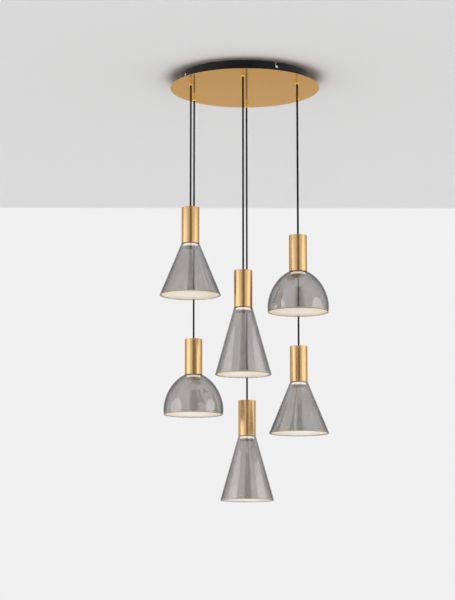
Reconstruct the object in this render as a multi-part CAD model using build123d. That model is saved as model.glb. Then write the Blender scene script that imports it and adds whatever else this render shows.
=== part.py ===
from build123d import *
from math import acos, cos, hypot, pi, radians, sin, tan
import os

# A six-light cluster pendant. Millimetres, +Z up, origin on the ceiling at the centre of the canopy.
# The front is towards -Y. The lamps are numbered round the hole circle, seen from above and
# anticlockwise: 1 front left, 2 front, 3 front right, 4 back right, 5 back, 6 back left.

# Length of the plain tools that drill and slot through sheet.
CUT = 20

# ---- canopy: a black pan under a steel bracket, with a wider gold face disc below it ----
CANOPY_RADIUS = 220
CANOPY_HEIGHT = 36
CANOPY_SHEET = 1.5
PAN_FLOOR = -CANOPY_HEIGHT + CANOPY_SHEET
DISC_RADIUS = 250
DISC_THICK = 2
DISC_UNDERSIDE = -CANOPY_HEIGHT - DISC_THICK

# ---- bayonet slots in the pan's wall, and the bracket's screws in them ----
SLOT_COUNT = 4
FIRST_SLOT_ANGLE = -63
SLOT_WIDTH = 5
SLOT_LEVEL = -16
SLOT_LEG_RUN = 9
SCREW_RADIUS = 2
SCREW_HEAD_RADIUS = 4
SCREW_HEAD_THICK = 2.6
SCREW_HEAD_GAP = 0.3
SCREW_INNER_END = 209
SCREW_DRIVE_WIDTH = 1

# ---- ceiling bracket: a cross of folded steel whose ends turn down into four tapped tabs ----
BRACKET_SHEET = 2
BRACKET_ARM_WIDTH = 24
BRACKET_HUB_RADIUS = 45
BRACKET_REACH = 216.5
BRACKET_TAB_DROP = 24
CABLE_HOLE_RADIUS = 15
FIXING_HOLE_RADIUS = 2.75
FIXING_CIRCLE_RADIUS = 70

# ---- cord grips on one hole circle ----
LAMP_COUNT = 6
GRIP_CIRCLE_RADIUS = 203
FIRST_GRIP_ANGLE = -152.5
GRIP_THREAD_RADIUS = 5
GRIP_HOLE_RADIUS = 5.2
GRIP_THREAD_TOP = PAN_FLOOR + 8
GRIP_FLANGE_RADIUS = 7
GRIP_FLANGE_THICK = 2
GRIP_BODY_RADIUS = 5.8
GRIP_TIP_RADIUS = 5.2
GRIP_TAPER_START = 10
GRIP_DROP = 14
GRIP_BORE_RADIUS = 3.1
MOUTH_THROAT_RADIUS = 3.4
MOUTH_LIP_RADIUS = 4.3
MOUTH_DEPTH = 5.5
GRIP_NUT_FLATS = 14
GRIP_NUT_THICK = 5
CLAMP_SCREW_RADIUS = 1.5

# ---- cords: each swings about the throat of its grip, and its tail runs on inside the pan ----
CORD_RADIUS = 3
SWING_CENTRE = DISC_UNDERSIDE - GRIP_DROP + MOUTH_DEPTH
CORD_END_GAP = 0.3
TAIL_LEVEL = -9
TAIL_ENTRY_RUN = 30
ARC_SHARE = 0.45
LEAD_SIDES = 8

# ---- wiring inside the pan ----
DRIVER_LENGTH = 132
DRIVER_WIDTH = 38
DRIVER_HEIGHT = 22
DRIVER_CENTRE_X = 114
DRIVER_CORNER = 3
DRIVER_EDGE_BREAK = 1
DRIVER_EAR = 8
DRIVER_EAR_WIDTH = 19
DRIVER_EAR_SLOT = 4
OUTPUT_BLOCK_LENGTH = 72
OUTPUT_BLOCK_WIDTH = 22
OUTPUT_POLE_PITCH = 12
ENTRY_PITCH = 2 * OUTPUT_POLE_PITCH
MAINS_BLOCK_LENGTH = 30
MAINS_BLOCK_WIDTH = 20
MAINS_BLOCK_CENTRE = (130, -40)
MAINS_POLE_PITCH = 9
MAINS_POLES = 3
BLOCK_HEIGHT = 15
BLOCK_STEP = 5
BLOCK_STEP_DEPTH = 5
POLE_WELL = 4
LEAD_LEVEL = -26
LEAD_RADIUS = 2.5
MAINS_LEAD_TURNS = [(178, -40), (202, -22), (200, 0)]
EARTH_STUD_CENTRE = (104, -62)
EARTH_STUD_RADIUS = 2
EARTH_STUD_HEIGHT = 12
EARTH_NUT_FLATS = 7
EARTH_NUT_THICK = 3
EARTH_WIRE_RADIUS = 1.2

# ---- lamp: cup, anchor, heat sink and light engine, each measured down from the cup's top ----
CUP_RADIUS = 29
CUP_HEIGHT = 120
CUP_WALL = 1.5
CUP_TOP_THICK = 2.5
CUP_EDGE_BREAK = 0.8
ANCHOR_COLLAR_RADIUS = 5.5
ANCHOR_COLLAR_RISE = 1.2
ANCHOR_THREAD_RADIUS = 4
ANCHOR_DEPTH = 16
ANCHOR_NUT_FLATS = 12
ANCHOR_NUT_THICK = 4
CORE_RADIUS = 1
CORE_SPACING = 3
SINK_GAP = 0.3
SINK_TOP = 60
SINK_BASE_THICK = 8
SINK_CORE_RADIUS = 9
SINK_FINS = 12
SINK_FIN_THICK = 2
SINK_FIN_STEP = 1
SINK_BORE = 6
SPIGOT_RADIUS = 20.5
SPIGOT_LENGTH = 5
BOARD_FLATS = 34
BOARD_THICK = 1.6
CHIP_SIDE = 14
CHIP_THICK = 1
CAP_RADIUS = 23.5
CAP_DEPTH = 16
CAP_FACE_THICK = 3
CAP_EDGE_BREAK = 2.5

# ---- glass shades and the opal diffusers in their mouths ----
GLASS_WALL = 2.5
GLASS_NECK_RADIUS = 29.5
GLASS_HOLE_RADIUS = 21
CONES = {"wide": (100, 172), "narrow": (90, 217)}
DOME_RADIUS = 100
DOME_LENGTH = 134
DOME_WIDEST = 117
DOME_FULLNESS = 1.85
DOME_NECK_LEVEL = (1 - (GLASS_NECK_RADIUS / DOME_RADIUS) ** DOME_FULLNESS) ** (1 / DOME_FULLNESS)
DOME_RISE = DOME_WIDEST / DOME_NECK_LEVEL
DOME_BANDS = 6
DIFFUSER_THICK = 3
DIFFUSER_RECESS = 3
DIFFUSER_GAP = 0.2

# Each lamp's glass, and how far its cup's top hangs below the underside of the face disc.
LAMPS = {
    1: ("wide", 427),
    2: ("narrow", 656),
    3: ("dome", 523),
    4: ("wide", 861),
    5: ("narrow", 1031),
    6: ("dome", 835),
}
# Where each cord's tail turns on its way from its grip to the output block.
TAIL_TURNS = {
    1: [(-128, -74, -12), (-76, -60, -18)],
    2: [(-13, -147, -12), (-6, -92, -18)],
    3: [(126, -86, -12), (76, -66, -18)],
    4: [(130, 78, -12), (78, 60, -18)],
    5: [(13, 147, -12), (6, 92, -18)],
    6: [(-126, 84, -12), (-76, 62, -18)],
}


def on_circle(radius, angle, height=0.0):
    """A place at this radius and angle round the canopy's centre, facing outwards."""
    return Rot(0, 0, angle) * Pos(radius, 0, height)


def grip_angle(number):
    return FIRST_GRIP_ANGLE + (number - 1) * 360 / LAMP_COUNT


def grip_centre(number):
    angle = radians(grip_angle(number))
    return GRIP_CIRCLE_RADIUS * cos(angle), GRIP_CIRCLE_RADIUS * sin(angle)


def slot_angles():
    return [FIRST_SLOT_ANGLE + i * 360 / SLOT_COUNT for i in range(SLOT_COUNT)]


def turned(*outline):
    """A solid of revolution about Z from its half outline, given as (radius, height) points."""
    return revolve(make_face(Plane.XZ * Polyline(*outline, close=True)), Axis.Z)


def upright(radius, bottom, top):
    """A plain round bar on the Z axis between two heights."""
    return Pos(0, 0, (bottom + top) / 2) * Cylinder(radius, top - bottom)


def lead(points, radius):
    """A many-sided lead along straight runs, joined by arcs as large as the runs allow."""
    corners = [Vector(*point) for point in points]
    pieces = []
    bends = []
    start = corners[0]
    for before, corner, after in zip(corners, corners[1:], corners[2:]):
        reach = ARC_SHARE * min((corner - before).length, (after - corner).length)
        arc_start = corner - (corner - before).normalized() * reach
        arc_end = corner + (after - corner).normalized() * reach
        pieces.append(Line(start, arc_start))
        pieces.append(TangentArc(arc_start, arc_end, tangent=corner - before))
        bends.append(reach / tan(radians((corner - before).get_angle(after - corner)) / 2))
        start = arc_end
    pieces.append(Line(start, corners[-1]))
    path = Wire(pieces)
    print(f"lead of radius {radius}, bend radii", *[f"{bend:.1f}" for bend in bends])
    section = Plane(origin=path @ 0, z_dir=path % 0) * RegularPolygon(radius, LEAD_SIDES)
    return sweep(section, path=path)


def hexagon(across_flats):
    return RegularPolygon(across_flats / 2, 6, major_radius=False)


def nut(across_flats, thick, bore):
    """A hexagon nut standing on height 0."""
    return extrude(hexagon(across_flats), thick) - Cylinder(bore, CUT)


# ---------------------------------------------------------------- canopy

def ceiling_bracket():
    """Hub with a cable hole, four arms against the ceiling, and a tapped tab at each arm's end."""
    bracket = upright(BRACKET_HUB_RADIUS, -BRACKET_SHEET, 0)
    arm = Box(BRACKET_REACH, BRACKET_ARM_WIDTH, BRACKET_SHEET)
    tab = Box(BRACKET_SHEET, BRACKET_ARM_WIDTH, BRACKET_TAB_DROP)
    for angle in slot_angles():
        bracket += on_circle(BRACKET_REACH / 2, angle, -BRACKET_SHEET / 2) * arm
        bracket += on_circle(BRACKET_REACH - BRACKET_SHEET / 2, angle, -BRACKET_TAB_DROP / 2) * tab
    bracket -= Cylinder(CABLE_HOLE_RADIUS, CUT)
    fixing_hole = Cylinder(FIXING_HOLE_RADIUS, CUT)
    tapped_hole = Rot(0, 90, 0) * Cylinder(SCREW_RADIUS, CUT)
    for angle in slot_angles():
        bracket -= on_circle(FIXING_CIRCLE_RADIUS, angle) * fixing_hole
        bracket -= on_circle(BRACKET_REACH, angle, SLOT_LEVEL) * tapped_hole
    return bracket


def bracket_screws():
    """Slotted cheese-head screws through the bayonet slots into the bracket's tabs."""
    seat = CANOPY_RADIUS + SCREW_HEAD_GAP
    top = seat + SCREW_HEAD_THICK
    screw = upright(SCREW_RADIUS, SCREW_INNER_END, seat) + upright(SCREW_HEAD_RADIUS, seat, top)
    screw -= Pos(0, 0, top) * Box(CUT, SCREW_DRIVE_WIDTH, SCREW_HEAD_THICK)
    lying = Rot(0, 90, 0) * screw
    return [Pos(0, 0, SLOT_LEVEL) * Rot(0, 0, angle) * lying for angle in slot_angles()]


def bayonet_slot():
    """Notch open at the pan's rim, with a level leg at its foot for the screw to run along."""
    notch = Pos(0, 0, SLOT_LEVEL / 2) * Box(CUT, SLOT_WIDTH, -SLOT_LEVEL)
    leg = Pos(0, SLOT_LEG_RUN / 2, SLOT_LEVEL) * Box(CUT, SLOT_LEG_RUN, SLOT_WIDTH)
    round_end = Pos(0, 0, SLOT_LEVEL) * Rot(0, 90, 0) * Cylinder(SLOT_WIDTH / 2, CUT)
    return notch + leg + round_end + Pos(0, SLOT_LEG_RUN, 0) * round_end


def grip_holes(height):
    """The drills for the grips' clearance holes, at this height."""
    drill = Cylinder(GRIP_HOLE_RADIUS, CUT / 2)
    return [on_circle(GRIP_CIRCLE_RADIUS, grip_angle(number), height) * drill for number in LAMPS]


def canopy_pan():
    """Drawn pan, open to the ceiling, with a bayonet slot for each screw and a hole for each grip."""
    inner = CANOPY_RADIUS - CANOPY_SHEET
    pan = turned(
        (0, -CANOPY_HEIGHT),
        (inner, -CANOPY_HEIGHT),
        (CANOPY_RADIUS, PAN_FLOOR),
        (CANOPY_RADIUS, 0),
        (inner, 0),
        (inner, PAN_FLOOR),
        (0, PAN_FLOOR),
    )
    for angle in slot_angles():
        pan -= on_circle(CANOPY_RADIUS, angle) * bayonet_slot()
    return pan - grip_holes(PAN_FLOOR)


def face_disc():
    """Flat gold disc, clamped under the pan by the six cord grips."""
    return upright(DISC_RADIUS, DISC_UNDERSIDE, -CANOPY_HEIGHT) - grip_holes(DISC_UNDERSIDE)


def cord_grip():
    """Turned grip: thread up through disc and pan, flange, tapered nose and flared mouth."""
    underside = DISC_UNDERSIDE
    tip = underside - GRIP_DROP
    grip = turned(
        (GRIP_BORE_RADIUS, GRIP_THREAD_TOP),
        (GRIP_THREAD_RADIUS, GRIP_THREAD_TOP),
        (GRIP_THREAD_RADIUS, underside),
        (GRIP_FLANGE_RADIUS, underside),
        (GRIP_FLANGE_RADIUS, underside - GRIP_FLANGE_THICK),
        (GRIP_BODY_RADIUS, underside - GRIP_FLANGE_THICK),
        (GRIP_BODY_RADIUS, underside - GRIP_TAPER_START),
        (GRIP_TIP_RADIUS, tip),
        (MOUTH_LIP_RADIUS, tip),
        (MOUTH_THROAT_RADIUS, SWING_CENTRE),
        (GRIP_BORE_RADIUS, SWING_CENTRE),
    )
    return grip - clamp_screw()


def clamp_screw():
    """Grub screw in the side of the grip that faces the centre: it bears on the cord."""
    length = GRIP_BODY_RADIUS - CORD_RADIUS
    middle = (GRIP_BODY_RADIUS + CORD_RADIUS) / 2
    level = DISC_UNDERSIDE - (GRIP_FLANGE_THICK + GRIP_TAPER_START) / 2
    return Pos(-middle, 0, level) * Rot(0, 90, 0) * Cylinder(CLAMP_SCREW_RADIUS, length)


def cord_tail(number):
    """The cord from its grip's throat, over the pan's floor, to the side of the output block."""
    x, y = grip_centre(number)
    side = 1 if y > 0 else -1
    entry_x = ENTRY_PITCH * round(x / GRIP_CIRCLE_RADIUS)
    entry_y = side * OUTPUT_BLOCK_WIDTH / 2
    route = [
        (x, y, SWING_CENTRE + CORD_END_GAP),
        (x, y, TAIL_LEVEL),
        *TAIL_TURNS[number],
        (entry_x, entry_y + side * TAIL_ENTRY_RUN, LEAD_LEVEL),
        (entry_x, entry_y, LEAD_LEVEL),
    ]
    return lead(route, CORD_RADIUS)


def grip_nut():
    """Nut on the grip's thread, inside the pan: it clamps the grip, the disc and the pan."""
    return Pos(0, 0, PAN_FLOOR) * nut(GRIP_NUT_FLATS, GRIP_NUT_THICK, GRIP_THREAD_RADIUS)


# ---------------------------------------------------------------- wiring inside the pan

def led_driver():
    """Moulded driver case with a fixing ear at each end, lying on the pan's floor."""
    case = Box(DRIVER_LENGTH, DRIVER_WIDTH, DRIVER_HEIGHT)
    case = fillet(case.edges().filter_by(Axis.Z), DRIVER_CORNER)
    top_edges = case.faces().sort_by(Axis.Z)[-1].edges()
    case = chamfer(top_edges, DRIVER_EDGE_BREAK)
    ears = Box(DRIVER_LENGTH + 2 * DRIVER_EAR, DRIVER_EAR_WIDTH, CANOPY_SHEET)
    for side in (-1, 1):
        slot = Box(DRIVER_EAR_SLOT, DRIVER_EAR_SLOT, CUT)
        ears -= Pos(side * (DRIVER_LENGTH + DRIVER_EAR) / 2, 0, 0) * slot
    driver = case + Pos(0, 0, (CANOPY_SHEET - DRIVER_HEIGHT) / 2) * ears
    return Pos(DRIVER_CENTRE_X, 0, PAN_FLOOR + DRIVER_HEIGHT / 2) * driver


def terminal_block(length, width, pitch, poles):
    """Stepped terminal block on height 0, with a screw well over each pole along both sides."""
    profile = Polyline(
        (-width / 2, 0),
        (width / 2, 0),
        (width / 2, BLOCK_HEIGHT - BLOCK_STEP),
        (width / 2 - BLOCK_STEP_DEPTH, BLOCK_HEIGHT),
        (BLOCK_STEP_DEPTH - width / 2, BLOCK_HEIGHT),
        (-width / 2, BLOCK_HEIGHT - BLOCK_STEP),
        close=True,
    )
    block = extrude(make_face(Plane.YZ * profile), length / 2, both=True)
    for pole in range(poles):
        x = (pole - (poles - 1) / 2) * pitch
        block -= Pos(x, 0, BLOCK_HEIGHT) * Box(POLE_WELL, POLE_WELL, POLE_WELL)
    return block


def terminal_blocks():
    output = terminal_block(OUTPUT_BLOCK_LENGTH, OUTPUT_BLOCK_WIDTH, OUTPUT_POLE_PITCH, LAMP_COUNT)
    mains = terminal_block(MAINS_BLOCK_LENGTH, MAINS_BLOCK_WIDTH, MAINS_POLE_PITCH, MAINS_POLES)
    return [Pos(0, 0, PAN_FLOOR) * output, Pos(*MAINS_BLOCK_CENTRE, PAN_FLOOR) * mains]


def earth_stud():
    """Welded stud on the pan's floor, with its nut."""
    stud = upright(EARTH_STUD_RADIUS, PAN_FLOOR, PAN_FLOOR + EARTH_STUD_HEIGHT)
    earth_nut = Pos(0, 0, PAN_FLOOR) * nut(EARTH_NUT_FLATS, EARTH_NUT_THICK, EARTH_STUD_RADIUS)
    return [Pos(*EARTH_STUD_CENTRE, 0) * piece for piece in (stud, earth_nut)]


def internal_leads():
    """Mains lead to the driver's far end, driver lead to the output block, and the earth wire."""
    block_x, block_y = MAINS_BLOCK_CENTRE
    driver_far = DRIVER_CENTRE_X + DRIVER_LENGTH / 2
    driver_near = DRIVER_CENTRE_X - DRIVER_LENGTH / 2
    mains_route = [
        (block_x + MAINS_BLOCK_LENGTH / 2, block_y, LEAD_LEVEL),
        *[(x, y, LEAD_LEVEL) for x, y in MAINS_LEAD_TURNS],
        (driver_far, 0, LEAD_LEVEL),
    ]
    gap = driver_near - OUTPUT_BLOCK_LENGTH / 2
    output_lead = Rot(0, 90, 0) * Cylinder(LEAD_RADIUS, gap)
    stud_x, stud_y = EARTH_STUD_CENTRE
    wire_level = PAN_FLOOR + EARTH_NUT_THICK + EARTH_WIRE_RADIUS
    earth_route = [
        (block_x - MAINS_BLOCK_LENGTH / 2, block_y, wire_level),
        (stud_x, block_y, wire_level),
        (stud_x, stud_y + EARTH_STUD_RADIUS, wire_level),
    ]
    return [
        lead(mains_route, LEAD_RADIUS),
        Pos(driver_near - gap / 2, 0, LEAD_LEVEL) * output_lead,
        lead(earth_route, EARTH_WIRE_RADIUS),
    ]


# ---------------------------------------------------------------- lamp, cup's top at height 0

def cup():
    """Drawn cup: closed top with the anchor's hole, open at the bottom."""
    inner = CUP_RADIUS - CUP_WALL
    return turned(
        (ANCHOR_THREAD_RADIUS, 0),
        (CUP_RADIUS - CUP_EDGE_BREAK, 0),
        (CUP_RADIUS, -CUP_EDGE_BREAK),
        (CUP_RADIUS, -CUP_HEIGHT),
        (inner, -CUP_HEIGHT),
        (inner, -CUP_TOP_THICK),
        (ANCHOR_THREAD_RADIUS, -CUP_TOP_THICK),
    )


def cord_anchor():
    """Threaded anchor through the cup's top, its nut, and the cord's two cores below it."""
    anchor = upright(ANCHOR_COLLAR_RADIUS, 0, ANCHOR_COLLAR_RISE)
    anchor += upright(ANCHOR_THREAD_RADIUS, -ANCHOR_DEPTH, 0)
    anchor_nut = nut(ANCHOR_NUT_FLATS, ANCHOR_NUT_THICK, ANCHOR_THREAD_RADIUS)
    length = CUP_HEIGHT + SPIGOT_LENGTH - ANCHOR_DEPTH
    core = extrude(hexagon(2 * CORE_RADIUS), -length)
    cores = [Pos(side * CORE_SPACING / 2, 0, -ANCHOR_DEPTH) * core for side in (-1, 1)]
    return [anchor, Pos(0, 0, -CUP_TOP_THICK - ANCHOR_NUT_THICK) * anchor_nut, *cores]


def heat_sink():
    """Cast heat sink: fins round a core, a base that fits the cup, and the threaded spigot."""
    radius = CUP_RADIUS - CUP_WALL - SINK_GAP
    base_top = -CUP_HEIGHT + SINK_BASE_THICK
    fin_height = -SINK_TOP - base_top
    sink = upright(radius, -CUP_HEIGHT, base_top)
    sink += upright(SPIGOT_RADIUS, -CUP_HEIGHT - SPIGOT_LENGTH, -CUP_HEIGHT)
    sink += upright(SINK_CORE_RADIUS, base_top, -SINK_TOP)
    fin_middle = (base_top - SINK_TOP) / 2
    fin_run = radius - SINK_FIN_STEP
    fin = Pos(fin_run / 2, 0, fin_middle) * Box(fin_run, SINK_FIN_THICK, fin_height)
    for i in range(SINK_FINS):
        sink += Rot(0, 0, i * 360 / SINK_FINS) * fin
    return sink - Box(SINK_BORE, SINK_BORE, 3 * CUP_HEIGHT)


def led_board():
    """Hexagonal board on the spigot's end, with its square light-emitting chip."""
    face = -CUP_HEIGHT - SPIGOT_LENGTH
    board = extrude(hexagon(BOARD_FLATS), -BOARD_THICK)
    chip = Pos(0, 0, -BOARD_THICK - CHIP_THICK / 2) * Box(CHIP_SIDE, CHIP_SIDE, CHIP_THICK)
    return Pos(0, 0, face) * (board + chip)


def light_cap():
    """Opal cap screwed on the spigot: it clamps the glass's neck and spreads the light."""
    top = -CUP_HEIGHT - GLASS_WALL
    face = -CUP_HEIGHT - CAP_DEPTH
    return turned(
        (SPIGOT_RADIUS, top),
        (CAP_RADIUS, top),
        (CAP_RADIUS, face + CAP_EDGE_BREAK),
        (CAP_RADIUS - CAP_EDGE_BREAK, face),
        (0, face),
        (0, face + CAP_FACE_THICK),
        (SPIGOT_RADIUS, face + CAP_FACE_THICK),
    )


def glass_radius(kind, depth, inset=0.0):
    """Radius of the glass at this depth under its neck, on a line moved in from the outside."""
    if kind == "dome":
        level = abs(depth - DOME_WIDEST) / (DOME_RISE - inset)
        return (DOME_RADIUS - inset) * (1 - level**DOME_FULLNESS) ** (1 / DOME_FULLNESS)
    mouth_radius, length = CONES[kind]
    flare = (mouth_radius - GLASS_NECK_RADIUS) / length
    return GLASS_NECK_RADIUS + flare * depth - inset * hypot(1, flare)


def glass_length(kind):
    return DOME_LENGTH if kind == "dome" else CONES[kind][1]


def glass_levels(kind, top):
    """Depths at which the glass's outline turns, from this depth down to the mouth."""
    if kind != "dome":
        return [top, glass_length(kind)]
    first = acos((DOME_WIDEST - top) / DOME_RISE)
    turns = [first + (pi / 2 - first) * i / DOME_BANDS for i in range(DOME_BANDS + 1)]
    return [DOME_WIDEST - DOME_RISE * cos(turn) for turn in turns] + [DOME_LENGTH]


def glass_shade(kind):
    """Blown glass: a flat neck under the cup with the spigot's hole, flaring to an open mouth."""
    neck = -CUP_HEIGHT
    outside = [(glass_radius(kind, depth), neck - depth) for depth in glass_levels(kind, 0)]
    inside = [
        (glass_radius(kind, depth, GLASS_WALL), neck - depth)
        for depth in glass_levels(kind, GLASS_WALL)
    ]
    hole = [(GLASS_HOLE_RADIUS, neck - GLASS_WALL), (GLASS_HOLE_RADIUS, neck)]
    return turned(*outside, *reversed(inside), *hole)


def mouth_disc(kind):
    """Opal disc bonded in the glass's mouth, a little above its rim."""
    bottom = glass_length(kind) - DIFFUSER_RECESS
    top = bottom - DIFFUSER_THICK
    radius = min(glass_radius(kind, depth, GLASS_WALL) for depth in (top, bottom))
    return upright(radius - DIFFUSER_GAP, -CUP_HEIGHT - bottom, -CUP_HEIGHT - top)


def cord(drop):
    """The hanging cord, straight from the throat of its grip to the collar of its anchor."""
    return upright(CORD_RADIUS, DISC_UNDERSIDE - drop + ANCHOR_COLLAR_RISE, SWING_CENTRE)


def save(name, *solids):
    """Write one node: a single solid, or a group of separate ones."""
    shape = solids[0] if len(solids) == 1 else Compound(children=list(solids))
    shape.label = name
    export_step(shape, f"parts/{name}.step")


def main():
    os.makedirs("parts", exist_ok=True)
    save("ceiling_bracket", ceiling_bracket())
    save("bracket_screws", *bracket_screws())
    save("canopy_pan", canopy_pan())
    save("face_disc", face_disc())
    at_grips = [on_circle(GRIP_CIRCLE_RADIUS, grip_angle(number)) for number in LAMPS]
    save("cord_grips", *[place * cord_grip() for place in at_grips])
    save("grip_clamp_screws", *[place * clamp_screw() for place in at_grips])
    save("grip_nuts", *[place * grip_nut() for place in at_grips])
    save("cord_tails", *[cord_tail(number) for number in LAMPS])
    save("led_driver", led_driver())
    save("terminal_blocks", *terminal_blocks())
    save("earth_stud", *earth_stud())
    save("internal_leads", *internal_leads())
    for number, (kind, drop) in LAMPS.items():
        x, y = grip_centre(number)
        hang = Pos(x, y, DISC_UNDERSIDE - drop)
        save(f"cord_{number}", Pos(x, y, 0) * cord(drop))
        save(f"cup_{number}", hang * cup())
        save(f"cord_anchor_{number}", *[hang * piece for piece in cord_anchor()])
        save(f"heat_sink_{number}", hang * heat_sink())
        save(f"led_board_{number}", hang * led_board())
        save(f"light_cap_{number}", hang * light_cap())
        save(f"glass_shade_{number}", hang * glass_shade(kind))
        save(f"mouth_disc_{number}", hang * mouth_disc(kind))


main()
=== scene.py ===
import math

import bmesh
import bpy
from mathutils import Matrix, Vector


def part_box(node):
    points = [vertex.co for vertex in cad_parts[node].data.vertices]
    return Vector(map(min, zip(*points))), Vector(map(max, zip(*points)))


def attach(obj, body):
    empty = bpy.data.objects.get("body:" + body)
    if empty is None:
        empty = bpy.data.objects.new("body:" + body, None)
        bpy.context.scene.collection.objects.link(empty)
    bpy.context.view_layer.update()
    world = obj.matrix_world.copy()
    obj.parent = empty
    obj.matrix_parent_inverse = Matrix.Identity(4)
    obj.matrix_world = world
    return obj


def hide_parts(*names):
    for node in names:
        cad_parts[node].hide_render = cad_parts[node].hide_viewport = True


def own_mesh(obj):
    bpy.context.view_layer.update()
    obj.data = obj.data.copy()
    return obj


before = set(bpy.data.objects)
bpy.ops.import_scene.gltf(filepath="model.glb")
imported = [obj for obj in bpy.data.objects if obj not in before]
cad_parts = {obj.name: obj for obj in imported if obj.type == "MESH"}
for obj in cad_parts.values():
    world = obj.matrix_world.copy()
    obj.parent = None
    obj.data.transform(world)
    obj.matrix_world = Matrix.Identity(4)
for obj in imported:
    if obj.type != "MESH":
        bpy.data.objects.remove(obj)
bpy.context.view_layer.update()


# ======================================================================== the photograph's view
# A long lens a little under the lowest lamp, looking up at the gold disc's underside. Its place,
# turn and focal length were fitted to the outlines of the disc, the cups and the glass rims.

CAMERA_PLACE = (-0.093, -6.641, -1.822)
CAMERA_PAN = math.radians(0.30)
CAMERA_TILT = math.radians(9.11)
CAMERA_SIGHT = 60.0
LENS_MM = 122.05
FILM_MM = 36.0

camera_data = bpy.data.cameras.new("camera")
camera_data.lens = LENS_MM
camera_data.sensor_width = FILM_MM
camera_data.clip_end = CAMERA_SIGHT
camera = bpy.data.objects.new("camera", camera_data)
camera.location = CAMERA_PLACE
camera.rotation_euler = (math.pi / 2 + CAMERA_TILT, 0.0, -CAMERA_PAN)
bpy.context.scene.collection.objects.link(camera)
bpy.context.scene.camera = camera
bpy.context.scene.view_settings.view_transform = "Standard"


# ======================================================================== hanging cords
# Six black cords of 6 mm with a close-woven sleeve. Each hangs dead straight from the throat of
# its grip under the disc to the collar on its cup. The real cord runs up through its grip when
# its lamp is raised.

LAMP_NUMBERS = range(1, 7)
CORD_RADIUS = 0.003
CORD_STATIONS = (0.0, 0.02, 0.25, 0.5, 0.75, 0.98, 1.0)
TUBE_ORDER = 3
TUBE_STEPS = 12
TUBE_ROUNDING = 6
SLEEVE_EASE = 0.00003
SLEEVE_COLOUR = (6, 6, 7)
SLEEVE_SHEEN = (18, 17, 18)
SLEEVE_STRANDS = 14
SLEEVE_TURN = 0.066
SLEEVE_RELIEF = 0.00015
SLEEVE_ROUGHNESS = 0.8
SLEEVE_SHINE = 0.1


def srgb(red, green, blue):
    """A colour as it is seen on screen, from 0 to 255, in the linear values of a shader."""
    linear = []
    for level in (red / 255, green / 255, blue / 255):
        linear.append(level / 12.92 if level <= 0.04045 else ((level + 0.055) / 1.055) ** 2.4)
    return (*linear, 1.0)


class Finish:
    """A socket in a material. Arithmetic on it adds Math nodes, and node() adds any other."""

    def __init__(self, tree, socket=None):
        self.tree = tree
        self.socket = socket

    def node(self, kind, settings=None, inputs=None, output=0):
        """A new node with its settings and inputs, as the socket of one of its outputs."""
        made = self.tree.nodes.new(kind)
        for name, value in (settings or {}).items():
            setattr(made, name, value)
        for name, value in (inputs or {}).items():
            if isinstance(value, Finish):
                self.tree.links.new(value.socket, made.inputs[name])
            else:
                made.inputs[name].default_value = value
        return Finish(self.tree, made.outputs[output]) if made.outputs else self

    def maths(self, operation, first, second=0.0):
        inputs = {0: first, 1: second}
        return self.node("ShaderNodeMath", {"operation": operation}, inputs)

    def __add__(self, other):
        return self.maths("ADD", self, other)

    def __radd__(self, other):
        return self.maths("ADD", other, self)

    def __sub__(self, other):
        return self.maths("SUBTRACT", self, other)

    def __rsub__(self, other):
        return self.maths("SUBTRACT", other, self)

    def __mul__(self, other):
        return self.maths("MULTIPLY", self, other)

    def __rmul__(self, other):
        return self.maths("MULTIPLY", other, self)

    def __truediv__(self, other):
        return self.maths("DIVIDE", self, other)

    def __pow__(self, other):
        return self.maths("POWER", self, other)

    def sine(self):
        return self.maths("SINE", self)

    def between(self, low, high):
        """How far this value lies from low to high, eased and held to 0 and 1."""
        settings = {"interpolation_type": "SMOOTHSTEP"}
        inputs = {"Value": self, "From Min": low, "From Max": high}
        return self.node("ShaderNodeMapRange", settings, inputs)


def new_finish(name):
    """An empty material, and the start of its chain of nodes."""
    material = bpy.data.materials.new(name)
    material.use_nodes = True
    material.node_tree.nodes.clear()
    return material, Finish(material.node_tree)


def place_on(finish, centre=(0.0, 0.0, 0.0)):
    """Where a point of the surface is, measured from a centre on the same object."""
    place = finish.node("ShaderNodeTexCoord", output="Object")
    inputs = {0: place, 1: centre}
    return finish.node("ShaderNodeVectorMath", {"operation": "SUBTRACT"}, inputs)


def parts_of(vector):
    """A vector's x, y and z."""
    return [vector.node("ShaderNodeSeparateXYZ", inputs={0: vector}, output=i) for i in range(3)]


def blend_colours(finish, share, first, second):
    """One colour turning into another as share goes from 0 to 1."""
    inputs = {0: share, 6: first, 7: second}
    return finish.node("ShaderNodeMix", {"data_type": "RGBA"}, inputs, output=2)


def bump(finish, height, depth, strength=1.0):
    """A normal from a height of 0 to 1 that stands for depth metres of relief."""
    inputs = {"Height": height, "Distance": depth, "Strength": strength}
    return finish.node("ShaderNodeBump", inputs=inputs)


def surface(finish, **inputs):
    """The principled shader and the material's output. Names stand for its sockets."""
    sockets = {name.replace("_", " "): value for name, value in inputs.items()}
    shader = finish.node("ShaderNodeBsdfPrincipled", inputs=sockets)
    finish.node("ShaderNodeOutputMaterial", inputs={"Surface": shader})


def woven_sleeve(name, centre):
    """Fine strands crossing round a cord that stands at centre, as a height of 0 to 1."""
    material, finish = new_finish(name)
    x, y, z = parts_of(place_on(finish, centre))
    turn = finish.maths("ARCTAN2", y, x) * SLEEVE_STRANDS
    climb = z * (2 * math.pi * SLEEVE_STRANDS / SLEEVE_TURN)
    weave = ((turn + climb).sine() * (turn - climb).sine()) * 0.5 + 0.5
    surface(
        finish,
        Base_Color=blend_colours(finish, weave, srgb(*SLEEVE_COLOUR), srgb(*SLEEVE_SHEEN)),
        Roughness=SLEEVE_ROUGHNESS,
        Specular_IOR_Level=SLEEVE_SHINE,
        Normal=bump(finish, weave, SLEEVE_RELIEF),
    )
    return material


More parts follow.
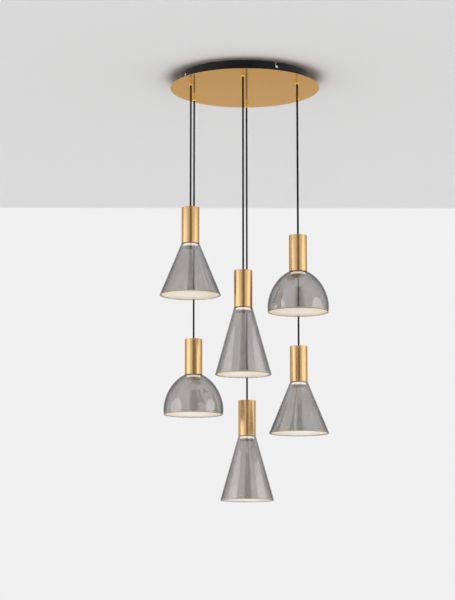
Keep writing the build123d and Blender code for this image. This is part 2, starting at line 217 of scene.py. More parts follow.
def keep_piece(piece, body, node):
    """A new piece rides on a body, and the CAD node that it stands for is hidden."""
    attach(piece, body)
    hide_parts(node)


def link_mesh(name, mesh, material):
    """A piece with its place in its mesh, so that its object stays at the origin."""
    piece = bpy.data.objects.new(name, mesh)
    mesh.materials.append(material)
    bpy.context.scene.collection.objects.link(piece)
    return piece


def smooth_tube(name, route, radius, material):
    """A round tube along the smooth line that a route's points steer, and that line's points."""
    curve = bpy.data.curves.new(name + "_line", "CURVE")
    curve.dimensions = "3D"
    spline = curve.splines.new("NURBS")
    spline.points.add(len(route) - 1)
    for point, place in zip(spline.points, route):
        point.co = (*place, 1.0)
    spline.order_u = TUBE_ORDER
    spline.use_endpoint_u = True
    curve.resolution_u = TUBE_STEPS
    line = bpy.data.objects.new(name + "_line", curve)
    bpy.context.scene.collection.objects.link(line)
    plain = bpy.data.meshes.new_from_object(line)
    path = [tuple(vertex.co) for vertex in plain.vertices]
    curve.bevel_depth = radius
    curve.bevel_resolution = TUBE_ROUNDING
    curve.use_fill_caps = True
    bpy.context.view_layer.update()
    mesh = bpy.data.meshes.new_from_object(line)
    mesh.name = name
    bpy.data.objects.remove(line)
    bpy.data.meshes.remove(plain)
    for polygon in mesh.polygons:
        polygon.use_smooth = True
    return link_mesh(name, mesh, material), path


def centre_of(node):
    """The middle of a CAD node seen from above, and its lowest and highest levels."""
    low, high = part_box(node)
    return (low[0] + high[0]) / 2, (low[1] + high[1]) / 2, low[2], high[2]


for number in LAMP_NUMBERS:
    x, y, bottom, top = centre_of(f"cord_{number}")
    length = top - bottom
    route = [(x, y, top - station * length) for station in CORD_STATIONS]
    sleeve = woven_sleeve(f"woven_sleeve_{number}", (x, y, top))
    cord, path = smooth_tube(f"hanging_cord_{number}", route, CORD_RADIUS - SLEEVE_EASE, sleeve)
    keep_piece(cord, f"hanging_cord_{number}", f"cord_{number}")
    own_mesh(cord)


# ======================================================================== bracket and its screws
# A folded steel cross, bright zinc plated, screwed to the ceiling. Slotted screws in its four
# tabs stand through the bayonet slots in the canopy's wall, which hangs on them.

ZINC_LIGHT = (214, 215, 212)
ZINC_DARK = (176, 178, 180)
ZINC_GRAIN = 90.0
ZINC_ROUGHNESS = 0.32
SCREW_LIGHT = (226, 226, 224)
SCREW_GRAIN = 400.0
SCREW_ROUGHNESS = 0.24
CRYSTAL_EDGES = (0.35, 0.7)
CRYSTAL_DULLNESS = 0.12
CRYSTAL_RELIEF = 0.00004


def mottle(vector, scale, detail):
    """A random pattern from 0 to 1, with patches of about 1 / scale metres."""
    inputs = {"Vector": vector, "Scale": scale, "Detail": detail}
    return vector.node("ShaderNodeTexNoise", inputs=inputs)


def plated_steel(name, light, dark, grain, roughness):
    """Zinc plate: a faint crystal pattern, a little duller in its lighter patches."""
    material, finish = new_finish(name)
    cloud = mottle(place_on(finish), grain, detail=4.0)
    share = cloud.between(*CRYSTAL_EDGES)
    surface(
        finish,
        Base_Color=blend_colours(finish, share, srgb(*dark), srgb(*light)),
        Metallic=1.0,
        Roughness=roughness + CRYSTAL_DULLNESS * share,
        Normal=bump(finish, cloud, CRYSTAL_RELIEF),
    )
    return material


def dress(node, material):
    """A CAD node keeps its own mesh and gets a material."""
    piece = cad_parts[node]
    if not piece.material_slots:
        piece.data.materials.append(material)
    for slot in piece.material_slots:
        slot.material = material


zinc = plated_steel("zinc_plate", ZINC_LIGHT, ZINC_DARK, ZINC_GRAIN, ZINC_ROUGHNESS)
screw_plate = plated_steel("screw_plate", SCREW_LIGHT, ZINC_LIGHT, SCREW_GRAIN, SCREW_ROUGHNESS)
dress("ceiling_bracket", zinc)
dress("bracket_screws", screw_plate)


# ======================================================================== canopy pan
# A drawn steel pan in satin black enamel, open to the ceiling, its edge rolled over a small
# radius. Its bayonet slots and the holes for the six grips are cut through the enamelled sheet.

ENAMEL = (16, 15, 19)
ENAMEL_WORN = (24, 23, 28)
ENAMEL_ROUGHNESS = 0.4
ENAMEL_WEAR = 0.1
ENAMEL_SHINE = 0.16
WEAR_SCALE = 9.0
PEEL_SCALE = 650.0
PEEL_RELIEF = 0.00006


def satin_enamel():
    """Black enamel with the slight orange peel of a sprayed coat."""
    material, finish = new_finish("satin_black_enamel")
    place = place_on(finish)
    peel = mottle(place, PEEL_SCALE, detail=2.0)
    wear = mottle(place, WEAR_SCALE, detail=3.0)
    surface(
        finish,
        Base_Color=blend_colours(finish, wear, srgb(*ENAMEL), srgb(*ENAMEL_WORN)),
        Roughness=ENAMEL_ROUGHNESS + ENAMEL_WEAR * wear,
        Specular_IOR_Level=ENAMEL_SHINE,
        Normal=bump(finish, peel, PEEL_RELIEF),
    )
    return material


dress("canopy_pan", satin_enamel())


# ======================================================================== face disc
# A flat disc of gold-plated steel, wider than the pan and clamped under it by the grips. Its
# plate is a soft mirror, in which the cords show as thin dark lines.

DISC_EDGE = 0.0004
DISC_LIP = 0.002
DISC_FACETS = 160
DISC_REACH = 0.25
# Painted shade: the plate is coloured darker at its front edge and lighter at its back.
PLATE_SHADED_FRONT = (199, 153, 90)
PLATE_LIT_BACK = (208, 162, 100)
PLATE_EDGE_ON = (243, 218, 178)
PLATE_METAL = 0.55
PLATE_ROUGHNESS = 0.04
PLATE_SHINE = 0.05
HAZE_SCALE = 26.0
HAZE_DULLNESS = 0.04
WAVE_SCALE = 16.0
WAVE_RELIEF = 0.0008
WAVE_STRENGTH = 0.1
SHARP_FROM = math.radians(35)
CORNER_STEPS = 3
CORNER_REACH = 0.45
NO_LENGTH = 1e-6


def finished(name, shape, material):
    """A bmesh made into a piece: smooth, with its sharp edges kept."""
    for face in shape.faces:
        face.smooth = True
    for edge in shape.edges:
        if len(edge.link_faces) == 2 and edge.calc_face_angle(0.0) > SHARP_FROM:
            edge.smooth = False
    mesh = bpy.data.meshes.new(name)
    shape.to_mesh(mesh)
    shape.free()
    return link_mesh(name, mesh, material)


def spun(name, outline, centre, facets, material):
    """A closed outline of (radius, height) points turned once round a centre, as a smooth mesh."""
    shape = bmesh.new()
    ring = [shape.verts.new((radius, 0.0, height)) for radius, height in outline]
    edges = [shape.edges.new(pair) for pair in zip(ring, ring[1:])]
    edges.append(shape.edges.new((ring[-1], ring[0])))
    bmesh.ops.spin(
        shape,
        geom=ring + edges,
        cent=(0, 0, 0),
        axis=(0, 0, 1),
        angle=2 * math.pi,
        steps=facets,
        use_merge=True,
    )
    bmesh.ops.remove_doubles(shape, verts=shape.verts, dist=NO_LENGTH)
    bmesh.ops.recalc_face_normals(shape, faces=shape.faces)
    bmesh.ops.translate(shape, verts=shape.verts, vec=centre)
    return finished(name, shape, material)


def eased(outline, radius, steps=CORNER_STEPS):
    """The same closed outline with each corner off the axis rounded by a small radius."""
    eased_outline = []
    count = len(outline)
    for i, (r, z) in enumerate(outline):
        corner = Vector((r, z))
        before = Vector(outline[i - 1]) - corner
        after = Vector(outline[(i + 1) % count]) - corner
        if min(r, before.length, after.length) < NO_LENGTH:
            eased_outline.append((r, z))
            continue
        reach = min(radius, CORNER_REACH * before.length, CORNER_REACH * after.length)
        start = corner + before.normalized() * reach
        end = corner + after.normalized() * reach
        for step in range(steps + 1):
            share = step / steps
            towards = start.lerp(corner, share)
            away = corner.lerp(end, share)
            eased_outline.append(tuple(towards.lerp(away, share)))
    return eased_outline


def radius_of(node):
    """Half the width of a CAD node."""
    low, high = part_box(node)
    return high[0] - (low[0] + high[0]) / 2


def soft_mirror():
    """Gold plate on rolled sheet: long faint waves, small dull patches, and painted shade that
    darkens it towards its front.
    """
    material, finish = new_finish("gold_mirror_plate")
    place = place_on(finish)
    waves = mottle(place, WAVE_SCALE, detail=1.0)
    haze = mottle(place, HAZE_SCALE, detail=4.0)
    # Painted shade: a share from the darker front of the disc to its lighter back.
    lit_back_share = parts_of(place)[1].between(-DISC_REACH, DISC_REACH)
    surface(
        finish,
        Base_Color=blend_colours(finish, lit_back_share, srgb(*PLATE_SHADED_FRONT), srgb(*PLATE_LIT_BACK)),
        Metallic=PLATE_METAL,
        Roughness=PLATE_ROUGHNESS + HAZE_DULLNESS * haze,
        Specular_IOR_Level=PLATE_SHINE,
        Specular_Tint=srgb(*PLATE_EDGE_ON),
        Normal=bump(finish, waves, WAVE_RELIEF, WAVE_STRENGTH),
    )
    return material


x, y, bottom, top = centre_of("face_disc")
disc_radius = radius_of("face_disc")
disc_flat = disc_radius - DISC_LIP
disc_outline = [
    (0.0, bottom),
    (disc_flat, bottom),
    (disc_radius, bottom),
    (disc_radius, top),
    (disc_flat, top),
    (0.0, top),
]
disc_outline = eased(disc_outline, DISC_EDGE)
disc = spun("gold_face_disc", disc_outline, (x, y, 0.0), DISC_FACETS, soft_mirror())
keep_piece(disc, "canopy", "face_disc")


# ======================================================================== cord grips
# Six small turned brass grips on one circle. Each has a thin flange on the disc, a tapered nose
# with a flared mouth, and a grub screw in its side that bears on the cord.

BRASS_LIGHT = (250, 222, 138)
BRASS_DARK = (222, 184, 98)
BRASS_ROUGHNESS = 0.2
BRASS_RINGS = (4.0, 4.0, 900.0)
BRASS_RING_SCALE = 2.0
BRASS_RING_DULLNESS = 0.1
BRASS_RING_RELIEF = 0.00003
TARNISH_SCALE = 60.0


def stretched(vector, factors):
    """The same place with each direction multiplied, so that patterns shorten along it."""
    inputs = {0: vector, 1: factors}
    return vector.node("ShaderNodeVectorMath", {"operation": "MULTIPLY"}, inputs)


def turned_brass():
    """Brass off the lathe: fine rings along the height, and a little tarnish."""
    material, finish = new_finish("turned_brass")
    place = place_on(finish)
    rings = mottle(stretched(place, BRASS_RINGS), BRASS_RING_SCALE, detail=3.0)
    tarnish = mottle(place, TARNISH_SCALE, detail=3.0)
    surface(
        finish,
        Base_Color=blend_colours(finish, tarnish, srgb(*BRASS_LIGHT), srgb(*BRASS_DARK)),
        Metallic=1.0,
        Roughness=BRASS_ROUGHNESS + BRASS_RING_DULLNESS * rings,
        Normal=bump(finish, rings, BRASS_RING_RELIEF),
    )
    return material


dress("cord_grips", turned_brass())
dress("grip_clamp_screws", zinc)
dress("grip_nuts", zinc)


# ======================================================================== wiring in the canopy
# Behind the disc, on the pan's floor: the six cords' tails, a white driver, two terminal blocks,
# an earth stud, and the leads between them. They show only from above, with the ceiling away.

PLASTIC_WHITE = (226, 225, 220)
PLASTIC_SHADE = (208, 207, 202)
PLASTIC_ROUGHNESS = 0.45
PLASTIC_TEXTURE = 0.00006
PLASTIC_TONE_SCALE = 14.0
SPARK_SCALE = 1200.0
SPARK_DULLNESS = 0.1
LEAD_WHITE = (214, 214, 210)
LEAD_SHADE = (186, 186, 182)
LEAD_ROUGHNESS = 0.4
LEAD_TEXTURE = 0.00002

# Each tail rises through its grip, bends over the grip's nut and falls to a pole of the block.
TAIL_LEVELS = (-0.0459, -0.0220, -0.0090, -0.0120, -0.0180, -0.0260, -0.0260)
TAIL_WAYS = {
    1: [(-0.1801, -0.0937), (-0.1280, -0.0740), (-0.0760, -0.0600), (-0.0240, -0.0410)],
    2: [(-0.0089, -0.2028), (-0.0130, -0.1470), (-0.0060, -0.0920), (0.0000, -0.0410)],
    3: [(0.1712, -0.1091), (0.1260, -0.0860), (0.0760, -0.0660), (0.0240, -0.0410)],
    4: [(0.1801, 0.0937), (0.1300, 0.0780), (0.0780, 0.0600), (0.0240, 0.0410)],
    5: [(0.0089, 0.2028), (0.0130, 0.1470), (0.0060, 0.0920), (0.0000, 0.0410)],
    6: [(-0.1712, 0.1091), (-0.1260, 0.0840), (-0.0760, 0.0620), (-0.0240, 0.0410)],
}
TAIL_POLE = 0.0110

# The mains lead and the driver's lead run at one level, and the earth wire a little lower.
LEAD_LEVEL = -0.026
EARTH_LEVEL = -0.0303
LEAD_RADIUS = 0.0025
EARTH_RADIUS = 0.0012
MAINS_WAYS = [(0.145, -0.040), (0.178, -0.040), (0.202, -0.022), (0.200, 0.000), (0.180, 0.000)]
DRIVER_WAYS = [(0.048, 0.0), (0.042, 0.0), (0.036, 0.0)]
EARTH_WAYS = [(0.115, -0.040), (0.104, -0.040), (0.104, -0.060)]
LEADS = {
    "mains_lead": (MAINS_WAYS, LEAD_LEVEL, LEAD_RADIUS),
    "driver_lead": (DRIVER_WAYS, LEAD_LEVEL, LEAD_RADIUS),
    "earth_wire": (EARTH_WAYS, EARTH_LEVEL, EARTH_RADIUS),
}


def moulded_plastic(name, light, dark, roughness, texture):
    """Moulded plastic with a fine spark texture and a soft change of tone."""
    material, finish = new_finish(name)
    place = place_on(finish)
    grain = mottle(place, SPARK_SCALE, detail=2.0)
    tone = mottle(place, PLASTIC_TONE_SCALE, detail=2.0)
    surface(
        finish,
        Base_Color=blend_colours(finish, tone, srgb(*dark), srgb(*light)),
        Roughness=roughness + SPARK_DULLNESS * grain,
        Normal=bump(finish, grain, texture),
    )
    return material


white_plastic = moulded_plastic(
    "white_moulding", PLASTIC_WHITE, PLASTIC_SHADE, PLASTIC_ROUGHNESS, PLASTIC_TEXTURE
)
dress("led_driver", white_plastic)
dress("terminal_blocks", white_plastic)
dress("earth_stud", zinc)

tail_sleeve = woven_sleeve("tail_sleeve", (0.0, 0.0, 0.0))
for number, ways in TAIL_WAYS.items():
    grip, turn = ways[0], ways[-1]
    pole = (turn[0], math.copysign(TAIL_POLE, turn[1]))
    route = [(*way, level) for way, level in zip([grip, grip, *ways, pole], TAIL_LEVELS)]
    tail = smooth_tube(f"cord_tail_{number}", route, CORD_RADIUS, tail_sleeve)[0]
    keep_piece(tail, "canopy", "cord_tails")

lead_sleeve = moulded_plastic("lead_sleeve", LEAD_WHITE, LEAD_SHADE, LEAD_ROUGHNESS, LEAD_TEXTURE)
for name, (ways, level, radius) in LEADS.items():
    route = [(*way, level) for way in ways]
    lead = smooth_tube(name, route, radius, lead_sleeve)[0]
    keep_piece(lead, "canopy", "internal_leads")


# ======================================================================== cups
# Six spun cups in satin gold plate, closed at the top round the cord's collar. The plate carries
# the fine rings of the lathe, so the room's lights stand in it as soft upright bands.

CUP_LIGHT = (226, 188, 138)
CUP_DARK = (218, 180, 129)
CUP_EDGE_ON = (140, 104, 76)
CUP_ROUGHNESS = 0.22
CUP_CLOUD_SCALE = 12.0
CUP_RINGS = (0.0, 0.0, 1500.0)
CUP_RING_SCALE = 1.0
CUP_RING_DULLNESS = 0.06
CUP_RING_RELIEF = 0.00001
CUP_WALL = 0.0015
CUP_TOP = 0.0025
CUP_EDGE = 0.0012
CUP_EDGE_STEPS = 4
CUP_FACETS = 96
COLLAR_HOLE = 0.004


def satin_gold():
    """Satin plate: very fine rings round the cup, over a faint cloudiness."""
    material, finish = new_finish("satin_gold_plate")
    place = place_on(finish)
    rings = mottle(stretched(place, CUP_RINGS), CUP_RING_SCALE, detail=3.0)
    cloud = mottle(place, CUP_CLOUD_SCALE, detail=2.0)
    surface(
        finish,
        Base_Color=blend_colours(finish, cloud, srgb(*CUP_DARK), srgb(*CUP_LIGHT)),
        Metallic=1.0,
        Roughness=CUP_ROUGHNESS + CUP_RING_DULLNESS * rings,
        Specular_Tint=srgb(*CUP_EDGE_ON),
        Normal=bump(finish, rings, CUP_RING_RELIEF),
    )
    return material


gold_satin = satin_gold()
for number in LAMP_NUMBERS:
    x, y, bottom, top = centre_of(f"cup_{number}")
    radius = radius_of(f"cup_{number}")
    outline = [
        (COLLAR_HOLE, top),
        (radius, top),
        (radius, bottom),
        (radius - CUP_WALL, bottom),
        (radius - CUP_WALL, top - CUP_TOP),
        (COLLAR_HOLE, top - CUP_TOP),
    ]
    outline = eased(outline, CUP_EDGE, CUP_EDGE_STEPS)
    cup = spun(f"gold_cup_{number}", outline, (x, y, 0.0), CUP_FACETS, gold_satin)
    keep_piece(cup, f"lamp_{number}", f"cup_{number}")


# ======================================================================== inside the cups
# Closed in by the cup: the cord's anchor and its nut, a cast heat sink whose threaded spigot
# stands through the glass's neck, and the hexagonal light board on the spigot's end.

CAST_LIGHT = (188, 190, 192)
CAST_DARK = (150, 152, 155)
CAST_GRAIN = 220.0
CAST_ROUGHNESS = 0.48
BOARD_WHITE = (232, 231, 224)
BOARD_SHADE = (214, 206, 170)
BOARD_ROUGHNESS = 0.4
BOARD_TEXTURE = 0.00001

cast_metal = plated_steel("cast_aluminium", CAST_LIGHT, CAST_DARK, CAST_GRAIN, CAST_ROUGHNESS)
board_mask = moulded_plastic(
    "board_mask", BOARD_WHITE, BOARD_SHADE, BOARD_ROUGHNESS, BOARD_TEXTURE
)
for number in LAMP_NUMBERS:
    dress(f"cord_anchor_{number}", zinc)
    dress(f"heat_sink_{number}", cast_metal)
    dress(f"led_board_{number}", board_mask)


# ======================================================================== light caps
# An opal cap screwed on each spigot, which clamps the glass against the cup. It glows, so its
# root shows as a bright line under the cup, and its face dimly through the smoked glass; its face
# is also coloured grey, as painted shade.

CAP_WALL = 0.003
CAP_EDGE = 0.0025
CAP_EDGE_STEPS = 4
CAP_FACETS = 64
CAP_WHITE = (255, 246, 230)
CAP_PAINTED_SHADE = (150, 143, 137)
CAP_FACE = (66, 60, 54)
CAP_STRENGTH = 1.5
CAP_ROUGHNESS = 0.35
CAP_CLOUD = 0.1
CAP_CLOUD_SCALE = 40.0
CAP_FADE = (0.25, 0.8)


def lit_opal(name, top, depth):
    """Opal plastic lit from within, brightest round its root and weaker towards its face, where
    its colour is painted grey as painted shade.
    """
    material, finish = new_finish(name)
    place = place_on(finish, (0.0, 0.0, top))
    cloud = mottle(place, CAP_CLOUD_SCALE, detail=2.0)
    below = 0.0 - parts_of(place)[2]
    fade = (below + CAP_CLOUD * depth * cloud).between(CAP_FADE[0] * depth, CAP_FADE[1] * depth)
    surface(
        finish,
        # Painted shade: the colour turns from white at the root to grey at the face.
        Base_Color=blend_colours(finish, fade, srgb(*CAP_WHITE), srgb(*CAP_PAINTED_SHADE)),
        Roughness=CAP_ROUGHNESS,
        Emission_Color=blend_colours(finish, fade, srgb(*CAP_WHITE), srgb(*CAP_FACE)),
        Emission_Strength=CAP_STRENGTH,
    )
    return material


for number in LAMP_NUMBERS:
    x, y, bottom, top = centre_of(f"light_cap_{number}")
    radius = radius_of(f"light_cap_{number}")
    outline = [
        (0.0, bottom),
        (radius, bottom),
        (radius, top),
        (radius - CAP_WALL, top),
        (radius - CAP_WALL, bottom + CAP_WALL),
        (0.0, bottom + CAP_WALL),
    ]
    outline = eased(outline, CAP_EDGE, CAP_EDGE_STEPS)
    opal = lit_opal(f"lit_opal_{number}", top, top - bottom)
    cap = spun(f"opal_cap_{number}", outline, (x, y, 0.0), CAP_FACETS, opal)
    keep_piece(cap, f"lamp_{number}", f"light_cap_{number}")


# ======================================================================== glass shades
# Blown smoked glass, 2.5 mm thick, with a thin mirror coat: two wide cones, two narrow cones and
# two domes. Each has a flat neck clamped under its cup and a fire-polished rim.

GLASS_WALL = 0.0025
GLASS_NECK = 0.0295
GLASS_HOLE = 0.021
GLASS_FACETS = 128
GLASS_ROUGHNESS = 0.03
DOME_NUMBERS = (3, 6)
DOME_WIDEST = 0.117
DOME_FULLNESS = 1.85
DOME_STEPS = 28
SMOKE_LIGHT = (178, 174, 174)
SMOKE_DARK = (160, 156, 156)
SMOKE_EDGE_ON = (120, 117, 117)
SMOKE_SCALE = 30.0
SMOKE_EDGES = (0.3, 0.7)
SMOKE_DULLNESS = 0.03
DRAWN_GLASS = (1.0, 1.0, 0.3)
GLASS_WAVE_SCALE = 16.0
GLASS_WAVE_RELIEF = 0.0006
GLASS_WAVE_STRENGTH = 0.16
MIRROR_COAT = 0.34
MIRROR_AT_EDGE = 0.3
MIRROR_EDGE_POWER = 3.0
MIRROR_EDGE_BLEND = 0.5
# Painted shade: a thin band round the outside of the mouth is coloured dark brown, less mirrored
# and denser.
RIM_PAINTED_SHADE = (110, 95, 80)
RIM_BAND = 0.0028
RIM_SKIN = (0.0016, 0.0006)
RIM_BARE = 0.6
RIM_DENSITY = 0.3
RIM_STEPS = 6


def smoked_glass(name, neck_place, height, mouth_radius):
    """Grey-brown glass with a thin mirror coat, a little wavy, and painted shade that darkens the
    outside of its rim.
    """
    material, finish = new_finish(name)
    place = place_on(finish, neck_place)
    x, y, z = parts_of(place)
    drawn = stretched(place, DRAWN_GLASS)
    waves = mottle(drawn, GLASS_WAVE_SCALE, detail=1.0)
    tint = mottle(drawn, SMOKE_SCALE, detail=3.0)
    smoke = tint.between(*SMOKE_EDGES)
    wall = blend_colours(finish, smoke, srgb(*SMOKE_DARK), srgb(*SMOKE_LIGHT))
    out = (x * x + y * y) ** 0.5
    # Painted shade: the mask of the dark band just outside the rim.
    low = (0.0 - z).between(height - RIM_BAND, height - 0.5 * RIM_BAND)
    rim = low * out.between(mouth_radius - RIM_SKIN[0], mouth_radius - RIM_SKIN[1])
    edge_on = finish.node(
        "ShaderNodeLayerWeight", inputs={"Blend": MIRROR_EDGE_BLEND}, output="Facing"
    )
    coat = MIRROR_COAT + MIRROR_AT_EDGE * edge_on**MIRROR_EDGE_POWER
    surface(
        finish,
        Base_Color=blend_colours(finish, rim, wall, srgb(*RIM_PAINTED_SHADE)),
        Metallic=1.0 - RIM_BARE * rim,
        Roughness=GLASS_ROUGHNESS + SMOKE_DULLNESS * tint,
        Alpha=coat + RIM_DENSITY * rim,
        Specular_Tint=srgb(*SMOKE_EDGE_ON),
        Normal=bump(finish, waves, GLASS_WAVE_RELIEF, GLASS_WAVE_STRENGTH),
    )
    return material


def dome_line(radius, height, inset):
    """Half outline of the dome from its neck to its mouth, moved in by inset."""
    level = (1 - (GLASS_NECK / radius) ** DOME_FULLNESS) ** (1 / DOME_FULLNESS)
    rise = DOME_WIDEST / level - inset
    start = math.acos((DOME_WIDEST - inset) / rise)
    stop = math.acos((DOME_WIDEST - height) / rise)
    line = []
    for step in range(DOME_STEPS + 1):
        depth = DOME_WIDEST - rise * math.cos(start + (stop - start) * step / DOME_STEPS)
        share = abs(depth - DOME_WIDEST) / rise
        out = (radius - inset) * (1 - share**DOME_FULLNESS) ** (1 / DOME_FULLNESS)
        line.append((out, -depth))
    return line


def cone_line(radius, height, inset):
    """Half outline of a cone from its neck to its mouth, moved in by inset."""
    flare = (radius - GLASS_NECK) / height
    side = inset * math.hypot(1.0, flare)
    return [(GLASS_NECK - side + flare * depth, -depth) for depth in (inset, height)]


def rim_line(outer, inner):
    """Half a circle under the wall, from the outside of the mouth to its inside."""
    middle = (outer[0] + inner[0]) / 2
    radius = (outer[0] - inner[0]) / 2
    level = outer[1] + radius
    turns = [math.pi * step / RIM_STEPS for step in range(RIM_STEPS + 1)]
    return [(middle + radius * math.cos(turn), level - radius * math.sin(turn)) for turn in turns]


for number in LAMP_NUMBERS:
    x, y, bottom, top = centre_of(f"glass_shade_{number}")
    radius = radius_of(f"glass_shade_{number}")
    draw = dome_line if number in DOME_NUMBERS else cone_line
    outside = draw(radius, top - bottom, 0.0)
    inside = draw(radius, top - bottom, GLASS_WALL)
    rim = rim_line(outside[-1], inside[-1])
    neck = [(GLASS_HOLE, -GLASS_WALL), (GLASS_HOLE, 0.0)]
    outline = outside[:-1] + rim + list(reversed(inside[:-1])) + neck
    smoke = smoked_glass(f"smoked_glass_{number}", (x, y, top), top - bottom, outside[-1][0])
    shade = spun(f"smoked_shade_{number}", outline, (x, y, top), GLASS_FACETS, smoke)
    keep_piece(shade, f"lamp_{number}", f"glass_shade_{number}")


# ======================================================================== mouth discs
# A disc of opal plastic is bonded in each mouth, 3 mm above the rim. It spreads the light, so it
# is warm cream at its edge and nearly white at its middle.

OPAL_CREAM = (240, 222, 190)
OPAL_WHITE = (246, 242, 232)
OPAL_SPREAD = (0.15, 0.95)
OPAL_ROUGHNESS = 0.4
OPAL_GLOW = 0.15
OPAL_EDGE = 0.0006
OPAL_FACETS = 96


def lit_disc(name, centre, radius):
    """Opal disc lit from above its middle."""
    material, finish = new_finish(name)
    x, y, z = parts_of(place_on(finish, centre))
    out = (x * x + y * y) ** 0.5 / radius
    tone = blend_colours(finish, out.between(*OPAL_SPREAD), srgb(*OPAL_WHITE), srgb(*OPAL_CREAM))
    surface(
        finish,
        Base_Color=tone,
        Roughness=OPAL_ROUGHNESS,
        Emission_Color=tone,
        Emission_Strength=OPAL_GLOW,
    )
    return material


for number in LAMP_NUMBERS:
    x, y, bottom, top = centre_of(f"mouth_disc_{number}")
    radius = radius_of(f"mouth_disc_{number}")
    outline = eased([(0.0, bottom), (radius, bottom), (radius, top), (0.0, top)], OPAL_EDGE)
    opal = lit_disc(f"mouth_opal_{number}", (x, y, bottom), radius)
    mouth = spun(f"opal_mouth_disc_{number}", outline, (x, y, 0.0), OPAL_FACETS, opal)
    keep_piece(mouth, f"lamp_{number}", f"mouth_disc_{number}")


# ======================================================================== studio
# A pale ceiling over the lamp that only a view from below shows, a pale floor, and a wide brown
# gauze behind the camera that only reflections show. Light passes the ceiling and the gauze.

STAGE_REACH = 60.0
CEILING_LEVEL = 0.0006
CEILING_END = 2.16
CEILING_GREY = (240, 240, 241)
# Painted shade: the ceiling's colour turns to this grey close to what touches it.
CONTACT_SHADE_GREY = (158, 158, 160)
CONTACT_REACH = 0.22
CONTACT_FADE = (0.2, 1.0)
CONTACT_SAMPLES = 8
FLOOR_LEVEL = -2.45
FLOOR_WHITE = (238, 238, 237)
GAUZE_PLACE = -7.6
GAUZE_MIDDLE = 0.3
GAUZE_CORE = 0.9
GAUZE_SIDES = (-3.2, 3.8)
GAUZE_LEVELS = (-2.4, 11.0)
GAUZE_DENSITY = 0.95
GAUZE_BROWN = (104, 82, 46)


def stage_sheet(name, corners, paint):
    """A flat sheet of stage, its front where its corners run anticlockwise."""
    shape = bmesh.new()
    shape.faces.new([shape.verts.new(corner) for corner in corners])
    material, finish = new_finish(f"{name}_paint")
    finish.node("ShaderNodeOutputMaterial", inputs={"Surface": paint(finish)})
    sheet = finished(name, shape, material)
    return sheet


def level_corners(first, last, level):
    """Corners of a level sheet from one y to another. It faces up where last is the larger."""
    sides = (-STAGE_REACH, STAGE_REACH)
    return [(x, first, level) for x in sides] + [(x, last, level) for x in reversed(sides)]


def seen_by(finish, *rays):
    """1 where one of these kinds of ray looks, and 0 elsewhere."""
    looks = [finish.node("ShaderNodeLightPath", output=f"Is {ray} Ray") for ray in rays]
    return sum(looks[1:], looks[0])


def partly(finish, share, shader):
    """A share of a shader, and clear otherwise."""
    clear = finish.node("ShaderNodeBsdfTransparent")
    return finish.node("ShaderNodeMixShader", inputs={0: share, 1: clear, 2: shader})


def ceiling_paint(finish):
    """Matt paint seen from below, with painted shade darkening its colour round what touches it.
    """
    occlusion = finish.node(
        "ShaderNodeAmbientOcclusion",
        {"samples": CONTACT_SAMPLES},
        {"Distance": CONTACT_REACH},
        output="AO",
    )
    # Painted shade: ambient occlusion sets how far the colour darkens towards the shade grey.
    unshaded_ceiling = occlusion.between(*CONTACT_FADE)
    tone = blend_colours(finish, unshaded_ceiling, srgb(*CONTACT_SHADE_GREY), srgb(*CEILING_GREY))
    matt = finish.node("ShaderNodeBsdfDiffuse", inputs={"Color": tone})
    front = 1.0 - finish.node("ShaderNodeNewGeometry", output="Backfacing")
    return partly(finish, seen_by(finish, "Camera", "Transmission") * front, matt)


def floor_paint(finish):
    """Plain matt paint."""
    return finish.node("ShaderNodeBsdfDiffuse", inputs={"Color": srgb(*FLOOR_WHITE)})


def gauze_cloth(finish):
    """Dark brown cloth, dense in its middle and thinning out to its sides."""
    x = parts_of(place_on(finish, (GAUZE_MIDDLE, 0.0, 0.0)))[0]
    aside = finish.maths("ABSOLUTE", x)
    dense = GAUZE_DENSITY * (1.0 - aside.between(GAUZE_CORE, GAUZE_SIDES[1] - GAUZE_MIDDLE))
    cloth = finish.node("ShaderNodeBsdfDiffuse", inputs={"Color": srgb(*GAUZE_BROWN)})
    return partly(finish, seen_by(finish, "Glossy") * dense, cloth)


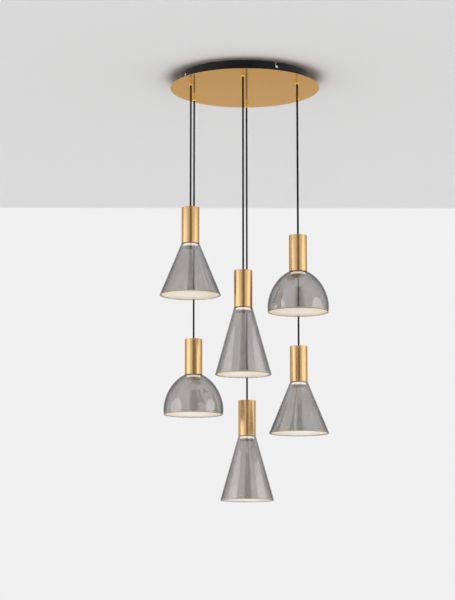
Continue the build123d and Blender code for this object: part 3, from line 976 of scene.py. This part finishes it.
ceiling_corners = level_corners(CEILING_END, -STAGE_REACH, CEILING_LEVEL)
floor_corners = level_corners(-STAGE_REACH, STAGE_REACH, FLOOR_LEVEL)
gauze_corners = [
    (GAUZE_SIDES[1], GAUZE_PLACE, GAUZE_LEVELS[0]),
    (GAUZE_SIDES[0], GAUZE_PLACE, GAUZE_LEVELS[0]),
    (GAUZE_SIDES[0], GAUZE_PLACE, GAUZE_LEVELS[1]),
    (GAUZE_SIDES[1], GAUZE_PLACE, GAUZE_LEVELS[1]),
]
ceiling = stage_sheet("ceiling", ceiling_corners, ceiling_paint)
floor = stage_sheet("floor", floor_corners, floor_paint)
stage_sheet("brown_gauze", gauze_corners, gauze_cloth)


# ======================================================================== lights
# The room gives most of the light, evenly from all round, and all of the ceiling's and the
# floor's. Two large soft lamps left and right add to it, and the cups show them as bright bands.

ROOM_LIGHT = 0.95
ROOM_WHITE = (240, 240, 240)
SOFT_WIDTH = 2.8
SOFT_RADIANCE = 0.75
SOFT_PLACES = {"left_soft": (-2.95, -0.9, -0.85), "right_soft": (2.95, -0.9, -0.85)}

left_out = bpy.data.collections.new("left_out_of_soft_light")
for sheet in (ceiling, floor):
    left_out.objects.link(sheet)
for entry in left_out.collection_objects:
    entry.light_linking.link_state = "EXCLUDE"

for name, place in SOFT_PLACES.items():
    light = bpy.data.lights.new(name, "AREA")
    light.shape = "ELLIPSE"
    light.size = light.size_y = SOFT_WIDTH
    light.energy = SOFT_RADIANCE * math.pi * (math.pi / 4) * SOFT_WIDTH * SOFT_WIDTH
    aim = Vector((0.0, 0.0, place[2])) - Vector(place)
    holder = bpy.data.objects.new(name, light)
    holder.location = place
    holder.rotation_euler = aim.to_track_quat("-Z", "Y").to_euler()
    holder.visible_camera = False
    holder.light_linking.receiver_collection = left_out
    bpy.context.scene.collection.objects.link(holder)

world = bpy.data.worlds.new("room")
world.use_nodes = True
world.node_tree.nodes.clear()
room = Finish(world.node_tree)
seen = seen_by(room, "Camera", "Glossy", "Transmission")
even_inputs = {"Color": (1.0, 1.0, 1.0, 1.0), "Strength": ROOM_LIGHT}
pale_inputs = {"Color": srgb(*ROOM_WHITE), "Strength": 1.0}
even = room.node("ShaderNodeBackground", inputs=even_inputs)
pale = room.node("ShaderNodeBackground", inputs=pale_inputs)
mixed = room.node("ShaderNodeMixShader", inputs={0: seen, 1: even, 2: pale})
room.node("ShaderNodeOutputWorld", inputs={"Surface": mixed})
bpy.context.scene.world = world
